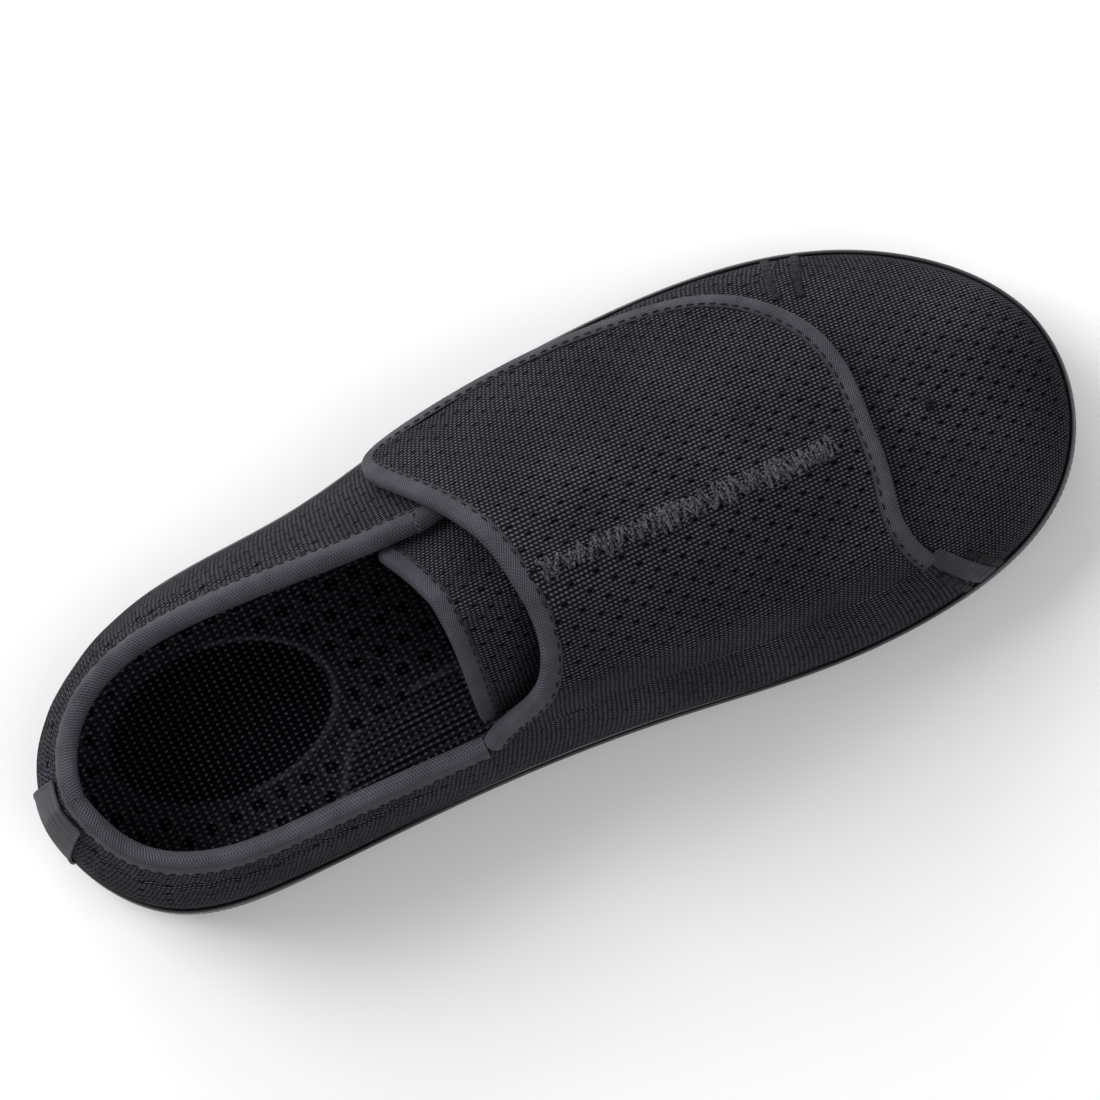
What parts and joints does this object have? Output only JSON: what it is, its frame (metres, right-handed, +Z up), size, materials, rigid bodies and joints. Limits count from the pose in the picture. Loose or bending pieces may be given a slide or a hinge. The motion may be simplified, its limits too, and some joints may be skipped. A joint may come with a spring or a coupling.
{
  "type": "adjustable mesh shoe with cushioned insole",
  "caption": "Wide low shoe for the left foot: knitted upper, taped collar, flap that folds over the instep and opens to the inner side, tongue, cushioned insole and flat rubber sole.",
  "frame": {"origin": "on the ground plane under the middle of the shoe's bounding box", "axes": "+X from heel to toe, +Y towards the outer side of the foot, +Z up"},
  "size_m": [0.2969, 0.1137, 0.0904],
  "materials": {
    "mesh": "knitted mesh",
    "tape": "twill bias tape",
    "foam": "open-cell foam",
    "lining": "brushed lining",
    "sole": "semi-gloss rubber",
    "rand": "gloss rubber",
    "board": "fibre board",
    "stiffener": "thermoplastic sheet",
    "pad": "soft gel",
    "cover": "embossed textile",
    "hook": "hook tape",
    "loop": "loop tape"
  },
  "bodies": {
    "shoe": {"outsole": "sole", "midsole": "sole", "sole_rand": "rand", "lasting_board": "board", "insole_base": "foam", "insole_heel_pad": "pad", "insole_arch_pad": "pad", "insole_forefoot_pad": "pad", "insole_cover": "cover", "quarter_outer_mesh": "mesh", "quarter_inner_mesh": "mesh", "quarter_outer_lining": "lining", "quarter_inner_lining": "lining", "quarter_outer_foam": "foam", "quarter_inner_foam": "foam", "heel_counter": "stiffener", "collar_foam": "foam", "collar_binding": "tape", "heel_pull_tab": "tape", "vamp_mesh": "mesh", "vamp_foam": "foam", "toe_puff": "stiffener", "vamp_lining": "lining", "loop_patch": "loop", "seam_strip_outer_rear": "tape", "seam_strip_outer_front": "tape", "seam_strip_inner_rear": "tape", "seam_strip_inner_front": "tape"},
    "flap": {"flap_mesh": "mesh", "flap_foam": "foam", "flap_lining": "lining", "flap_binding": "tape", "flap_hook_strip": "hook", "flap_zigzag_seam": "tape"},
    "tongue": {"tongue_mesh": "mesh", "tongue_foam": "foam", "tongue_lining": "lining", "tongue_binding": "tape"}
  },
  "joints": [
    {"name": "flap_open", "type": "hinge", "parent": "shoe", "child": "flap", "pos_m": [0.0315, -0.0433, 0.0498], "axis": [0.9909, -0.0732, -0.113], "range_deg": [0, 140]},
    {"name": "tongue_lift", "type": "hinge", "parent": "shoe", "child": "tongue", "pos_m": [0.0514, -0.006, 0.0515], "axis": [0, 1, 0], "range_deg": [0, 28]}
  ],
  "couplings": [
    {"joint": "tongue_lift", "follows": "flap_open", "ratio": 0.2}
  ]
}
